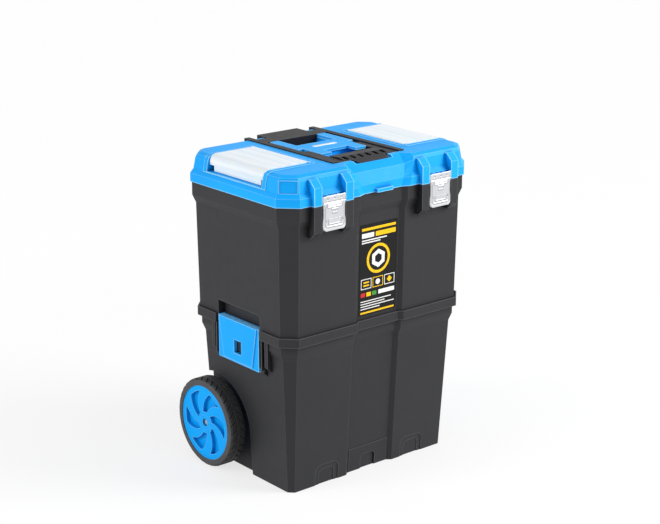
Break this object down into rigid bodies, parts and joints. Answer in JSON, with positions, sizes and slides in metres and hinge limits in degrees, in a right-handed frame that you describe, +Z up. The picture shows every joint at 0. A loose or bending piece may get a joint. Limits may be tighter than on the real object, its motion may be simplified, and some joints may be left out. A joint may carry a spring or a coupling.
{
  "type": "two-tier rolling tool case",
  "caption": "Upright two-tier tool case: a latched upper box with a hinged organizer lid and folding handle stands in the rim of a wheeled lower bin.",
  "frame": {"origin": "on the floor at the middle of the case's flat base", "axes": "+X to the right along the front, +Y to the rear, +Z up"},
  "size_m": [0.4796, 0.3504, 0.6237],
  "materials": {
    "shell_black": "moulded, fine grain",
    "lid_blue": "moulded, fine grain",
    "panel_black": "moulded, satin",
    "clear_cover": "translucent",
    "latch_steel": "bright plated",
    "pin_steel": "drawn wire",
    "badge_metal": "satin",
    "wheel_blue": "moulded",
    "tyre_black": "matt, blocked tread",
    "label_film": "printed film"
  },
  "bodies": {
    "lower_bin": {"lower_bin": "shell_black", "clip_pins": "pin_steel", "axle": "pin_steel", "axle_push_nuts": "pin_steel", "wheel_washers": "pin_steel"},
    "upper_box": {"upper_box": "shell_black", "latch_base_pins": "pin_steel", "lid_hinge_pins": "pin_steel", "front_label": "label_film"},
    "lid": {"lid": "lid_blue", "lid_panel": "panel_black", "panel_screws": "pin_steel", "handle_bridge": "lid_blue", "bridge_screws": "pin_steel", "badge_plate": "badge_metal", "handle_rod": "pin_steel", "organizer_pin_left": "pin_steel", "organizer_pin_right": "pin_steel"},
    "carry_handle": {"carry_handle": "panel_black"},
    "organizer_cover_left": {"organizer_cover_left": "clear_cover"},
    "organizer_cover_right": {"organizer_cover_right": "clear_cover"},
    "latch_link_left": {"latch_link_left": "latch_steel", "latch_link_pin_left": "pin_steel"},
    "latch_link_right": {"latch_link_right": "latch_steel", "latch_link_pin_right": "pin_steel"},
    "latch_lever_left": {"latch_lever_left": "latch_steel"},
    "latch_lever_right": {"latch_lever_right": "latch_steel"},
    "side_clip_left": {"side_clip_left": "lid_blue"},
    "side_clip_right": {"side_clip_right": "lid_blue"},
    "wheel_left": {"wheel_rim_left": "wheel_blue", "tyre_left": "tyre_black"},
    "wheel_right": {"wheel_rim_right": "wheel_blue", "tyre_right": "tyre_black"}
  },
  "joints": [
    {"name": "upper_box_lift", "type": "slide", "parent": "lower_bin", "child": "upper_box", "axis": [0, 0, 1], "range_m": [0, 0.15]},
    {"name": "lid_hinge", "type": "hinge", "parent": "upper_box", "child": "lid", "pos_m": [0, 0.1664, 0.5602], "axis": [-1, 0, 0], "range_deg": [0, 100]},
    {"name": "handle_pivot", "type": "hinge", "parent": "lid", "child": "carry_handle", "pos_m": [0, 0.004, 0.6112], "axis": [-1, 0, 0], "range_deg": [0, 90]},
    {"name": "organizer_left_hinge", "type": "hinge", "parent": "lid", "child": "organizer_cover_left", "pos_m": [-0.119, 0, 0.6217], "axis": [0, 1, 0], "range_deg": [0, 95]},
    {"name": "organizer_right_hinge", "type": "hinge", "parent": "lid", "child": "organizer_cover_right", "pos_m": [0.119, 0, 0.6217], "axis": [0, -1, 0], "range_deg": [0, 95]},
    {"name": "latch_link_left_pivot", "type": "hinge", "parent": "upper_box", "child": "latch_link_left", "pos_m": [-0.131, -0.1629, 0.54039], "axis": [1, 0, 0], "range_deg": [0, 75]},
    {"name": "latch_lever_left_pivot", "type": "hinge", "parent": "latch_link_left", "child": "latch_lever_left", "pos_m": [-0.131, -0.1659, 0.5642], "axis": [1, 0, 0], "range_deg": [-165, 0]},
    {"name": "latch_link_right_pivot", "type": "hinge", "parent": "upper_box", "child": "latch_link_right", "pos_m": [0.131, -0.1629, 0.54039], "axis": [1, 0, 0], "range_deg": [0, 75]},
    {"name": "latch_lever_right_pivot", "type": "hinge", "parent": "latch_link_right", "child": "latch_lever_right", "pos_m": [0.131, -0.1659, 0.5642], "axis": [1, 0, 0], "range_deg": [-165, 0]},
    {"name": "side_clip_left_pivot", "type": "hinge", "parent": "lower_bin", "child": "side_clip_left", "pos_m": [-0.217, 0, 0.2365], "axis": [0, -1, 0], "range_deg": [0, 110]},
    {"name": "side_clip_right_pivot", "type": "hinge", "parent": "lower_bin", "child": "side_clip_right", "pos_m": [0.217, 0, 0.2365], "axis": [0, 1, 0], "range_deg": [0, 110]},
    {"name": "wheel_left_spin", "type": "hinge", "parent": "lower_bin", "child": "wheel_left", "pos_m": [-0.222, 0.091, 0.0885], "axis": [1, 0, 0], "continuous": true},
    {"name": "wheel_right_spin", "type": "hinge", "parent": "lower_bin", "child": "wheel_right", "pos_m": [0.222, 0.091, 0.0885], "axis": [1, 0, 0], "continuous": true}
  ],
  "couplings": [
    {"joint": "latch_lever_left_pivot", "follows": "latch_link_left_pivot", "ratio": -2.2},
    {"joint": "latch_lever_right_pivot", "follows": "latch_link_right_pivot", "ratio": -2.2}
  ]
}
